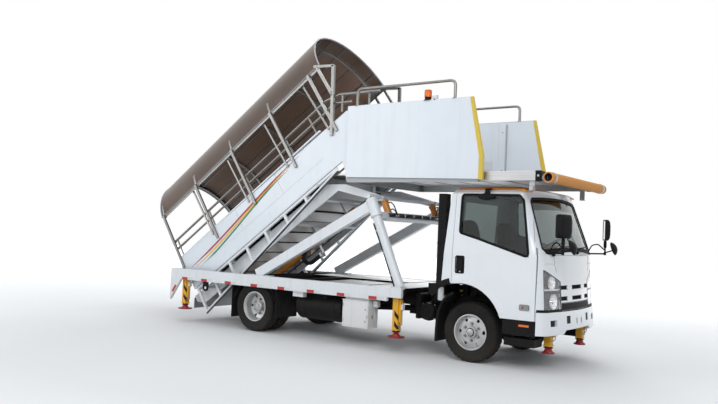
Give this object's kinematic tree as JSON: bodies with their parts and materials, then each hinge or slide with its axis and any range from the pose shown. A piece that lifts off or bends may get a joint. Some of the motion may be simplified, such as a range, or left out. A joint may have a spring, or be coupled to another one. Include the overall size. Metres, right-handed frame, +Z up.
{
  "type": "truck-mounted passenger boarding stairs",
  "caption": "Self-propelled passenger boarding stairs on a light truck: tilting and telescoping covered flight, level platform with sliding front, drop-down stabiliser feet.",
  "frame": {"origin": "on the ground below the middle of the whole machine", "axes": "+X forward, +Y left, +Z up"},
  "size_m": [8.1678, 2.282, 4.9356],
  "materials": {
    "white_paint": "satin white paint",
    "cab_paint": "gloss white paint",
    "box_white": "satin light grey paint",
    "black_frame": "dusty black chassis paint",
    "engine_grey": "cast block",
    "orange_paint": "orange paint",
    "yellow_paint": "yellow paint",
    "red_paint": "red paint",
    "black_plastic": "matt black plastic",
    "interior": "grey cab trim",
    "glass": "clear, slightly tinted",
    "lamp_clear": "clear lens",
    "rim_silver": "silver wheel paint",
    "tyre": "road rubber",
    "rod_steel": "chromed rod",
    "step_alu": "chequer plate",
    "stainless": "brushed stainless tube",
    "canopy_alu": "anodised aluminium",
    "roof_sheet": "brown translucent sheet",
    "platform_grey": "grey deck",
    "platform_alu": "extruded aluminium",
    "beacon_orange": "orange lens",
    "bumper_foam": "ochre sheathed bumper"
  },
  "bodies": {
    "truck": {"chassis": "black_frame", "front_axle": "black_frame", "rear_axle": "black_frame", "engine": "engine_grey", "tanks": "black_frame", "deck_sides": "white_paint", "deck_frame": "black_frame", "leg_frame": "white_paint", "lift_barrels": "orange_paint", "jack_barrels": "yellow_paint", "control_box": "box_white", "fenders": "black_plastic", "cab_shell": "cab_paint", "roof_cap": "orange_paint", "cab_glass": "glass", "lamps": "lamp_clear", "bumper": "cab_paint", "mirrors": "black_plastic", "cab_trim": "black_plastic", "cab_interior": "interior"},
    "knuckle_left": {"knuckle_l": "black_frame"},
    "knuckle_right": {"knuckle_r": "black_frame"},
    "wheel_front_left": {"rim_fl": "rim_silver", "tyre_fl": "tyre"},
    "wheel_front_right": {"rim_fr": "rim_silver", "tyre_fr": "tyre"},
    "wheels_rear_left": {"rim_rl": "rim_silver", "tyre_rl": "tyre"},
    "wheels_rear_right": {"rim_rr": "rim_silver", "tyre_rr": "tyre"},
    "door_left": {"door_l": "cab_paint", "door_glass_l": "glass"},
    "door_right": {"door_r": "cab_paint", "door_glass_r": "glass"},
    "foot_front_left": {"jack_fl": "red_paint"},
    "foot_front_right": {"jack_fr": "red_paint"},
    "foot_middle_left": {"jack_ml": "red_paint"},
    "foot_middle_right": {"jack_mr": "red_paint"},
    "foot_rear_left": {"jack_rl": "red_paint"},
    "foot_rear_right": {"jack_rr": "red_paint"},
    "lift_head": {"lift_head": "rod_steel"},
    "lower_flight": {"lower_frame": "white_paint", "lower_steps": "step_alu", "slide_barrel": "orange_paint"},
    "upper_flight": {"upper_sides": "white_paint", "upper_steps": "step_alu", "slide_rod": "rod_steel", "handrails": "stainless", "canopy_frame": "canopy_alu", "canopy_roof": "roof_sheet"},
    "platform": {"platform_floor": "platform_grey", "platform_sides": "white_paint", "platform_rails": "stainless", "beacon": "beacon_orange"},
    "extension": {"extension": "platform_alu", "bumper_tube": "bumper_foam"}
  },
  "joints": [
    {"name": "steer_left", "type": "hinge", "parent": "truck", "child": "knuckle_left", "pos_m": [2.704, 0.69, 0.398], "axis": [0, 0, 1], "range_deg": [-33, 33]},
    {"name": "roll_front_left", "type": "hinge", "parent": "knuckle_left", "child": "wheel_front_left", "pos_m": [2.704, 0.832, 0.398], "axis": [0, 1, 0], "continuous": true},
    {"name": "roll_rear_left", "type": "hinge", "parent": "truck", "child": "wheels_rear_left", "pos_m": [-1.111, 0.806, 0.398], "axis": [0, 1, 0], "continuous": true},
    {"name": "door_swing_left", "type": "hinge", "parent": "truck", "child": "door_left", "pos_m": [3.594, 0.962, 1.3], "axis": [0, 0, -1], "range_deg": [0, 65]},
    {"name": "foot_drop_front_left", "type": "slide", "parent": "truck", "child": "foot_front_left", "axis": [0, 0, -1], "range_m": [0, 0.195]},
    {"name": "foot_drop_middle_left", "type": "slide", "parent": "truck", "child": "foot_middle_left", "axis": [0, 0, -1], "range_m": [0, 0.195]},
    {"name": "foot_drop_rear_left", "type": "slide", "parent": "truck", "child": "foot_rear_left", "axis": [0, 0, -1], "range_m": [0, 0.195]},
    {"name": "steer_right", "type": "hinge", "parent": "truck", "child": "knuckle_right", "pos_m": [2.704, -0.69, 0.398], "axis": [0, 0, 1], "range_deg": [-33, 33]},
    {"name": "roll_front_right", "type": "hinge", "parent": "knuckle_right", "child": "wheel_front_right", "pos_m": [2.704, -0.832, 0.398], "axis": [0, 1, 0], "continuous": true},
    {"name": "roll_rear_right", "type": "hinge", "parent": "truck", "child": "wheels_rear_right", "pos_m": [-1.111, -0.806, 0.398], "axis": [0, 1, 0], "continuous": true},
    {"name": "door_swing_right", "type": "hinge", "parent": "truck", "child": "door_right", "pos_m": [3.594, -0.962, 1.3], "axis": [0, 0, 1], "range_deg": [0, 65]},
    {"name": "foot_drop_front_right", "type": "slide", "parent": "truck", "child": "foot_front_right", "axis": [0, 0, -1], "range_m": [0, 0.195]},
    {"name": "foot_drop_middle_right", "type": "slide", "parent": "truck", "child": "foot_middle_right", "axis": [0, 0, -1], "range_m": [0, 0.195]},
    {"name": "foot_drop_rear_right", "type": "slide", "parent": "truck", "child": "foot_rear_right", "axis": [0, 0, -1], "range_m": [0, 0.195]},
    {"name": "flight_tilt", "type": "hinge", "parent": "truck", "child": "lower_flight", "pos_m": [-2.3014, 0, 0.60793], "axis": [0, -1, 0], "range_deg": [0, 6]},
    {"name": "lift_slide", "type": "slide", "parent": "truck", "child": "lift_head", "axis": [-0.4083, 0, 0.9128], "range_m": [0, 0.3907]},
    {"name": "flight_slide", "type": "slide", "parent": "lower_flight", "child": "upper_flight", "axis": [0.8191, 0, 0.5737], "range_m": [0, 2]},
    {"name": "platform_level", "type": "hinge", "parent": "upper_flight", "child": "platform", "pos_m": [0.624, 0, 2.47], "axis": [0, 1, 0], "range_deg": [0, 6.01]},
    {"name": "platform_extend", "type": "slide", "parent": "platform", "child": "extension", "axis": [1, 0, 0], "range_m": [0, 0.6]}
  ],
  "couplings": [
    {"joint": "steer_right", "follows": "steer_left", "ratio": 1},
    {"joint": "lift_slide", "follows": "flight_tilt", "m_per_rad": 3.721},
    {"joint": "platform_level", "follows": "flight_tilt", "ratio": 1}
  ]
}
